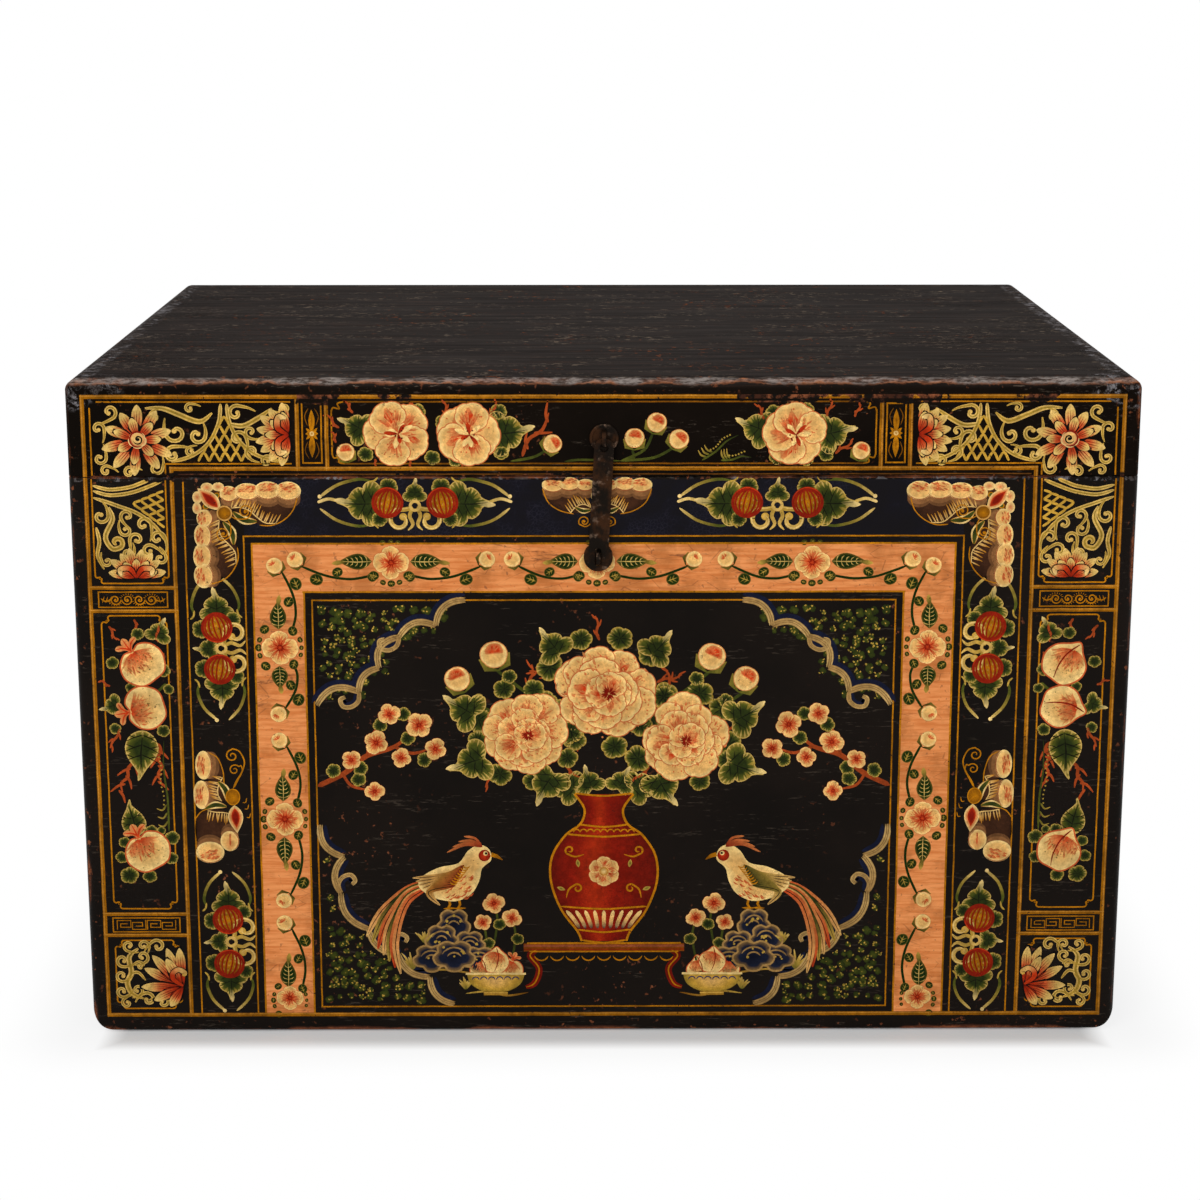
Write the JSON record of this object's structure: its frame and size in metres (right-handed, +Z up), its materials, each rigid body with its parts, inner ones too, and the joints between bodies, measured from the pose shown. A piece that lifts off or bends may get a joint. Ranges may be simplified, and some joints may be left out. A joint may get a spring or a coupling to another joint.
{
  "type": "opera chest",
  "caption": "Black-lacquered wooden costume chest with a deep hinged lid, painted flower panels on the front, an iron hasp and end handles.",
  "frame": {"origin": "middle of the underside, on the floor, centred between the hasp staple's tip and the hinge staples' tips", "axes": "+Z up; the painted front with the hasp faces -Y; +X runs along the width to the viewer's right"},
  "size_m": [0.9566, 0.6459, 0.596],
  "materials": {
    "lacquer": "worn black lacquer with painted flowers, gold lines and brown rubbed edges",
    "bare_wood": "aged bare softwood",
    "iron": "dark forged iron with brown rust",
    "nail_iron": "dark iron"
  },
  "bodies": {
    "case": {"case_front": "lacquer", "case_back": "lacquer", "case_left_end": "lacquer", "case_right_end": "lacquer", "bottom_plank_front": "bare_wood", "bottom_plank_middle": "bare_wood", "bottom_plank_back": "bare_wood", "bottom_nails": "nail_iron", "lip_front": "bare_wood", "lip_left": "bare_wood", "lip_right": "bare_wood", "lip_nails": "nail_iron", "lock_rose": "iron", "lock_staple": "iron", "hinge_staple_left": "iron", "hinge_staple_right": "iron", "left_handle_eyes": "iron", "left_handle_roses": "iron", "right_handle_eyes": "iron", "right_handle_roses": "iron"},
    "lid": {"lid_front_rail": "lacquer", "lid_back_rail": "lacquer", "lid_left_rail": "lacquer", "lid_right_rail": "lacquer", "lid_plank_front": "lacquer", "lid_plank_middle": "lacquer", "lid_plank_back": "lacquer", "lid_nails": "nail_iron", "lid_batten_left": "bare_wood", "lid_batten_right": "bare_wood", "batten_nails": "nail_iron", "hasp_rose": "iron", "hasp_staple": "iron", "hinge_strap_left": "iron", "hinge_strap_right": "iron", "hinge_nails_left": "nail_iron", "hinge_nails_right": "nail_iron"},
    "hasp": {"hasp_strap": "iron"},
    "left_handle": {"left_handle_bail": "iron"},
    "right_handle": {"right_handle_bail": "iron"}
  },
  "joints": [
    {"name": "lid_hinge", "type": "hinge", "parent": "case", "child": "lid", "pos_m": [0, 0.31565, 0.494], "axis": [-1, 0, 0], "range_deg": [0, 105]},
    {"name": "hasp_swing", "type": "hinge", "parent": "lid", "child": "hasp", "pos_m": [0, -0.31, 0.544], "axis": [-1, 0, 0], "range_deg": [0, 150]},
    {"name": "left_handle_swing", "type": "hinge", "parent": "case", "child": "left_handle", "pos_m": [-0.4705, 0.0039, 0.345], "axis": [0, 1, 0], "range_deg": [-6, 186]},
    {"name": "right_handle_swing", "type": "hinge", "parent": "case", "child": "right_handle", "pos_m": [0.4705, 0.0039, 0.345], "axis": [0, -1, 0], "range_deg": [-6, 186]}
  ]
}
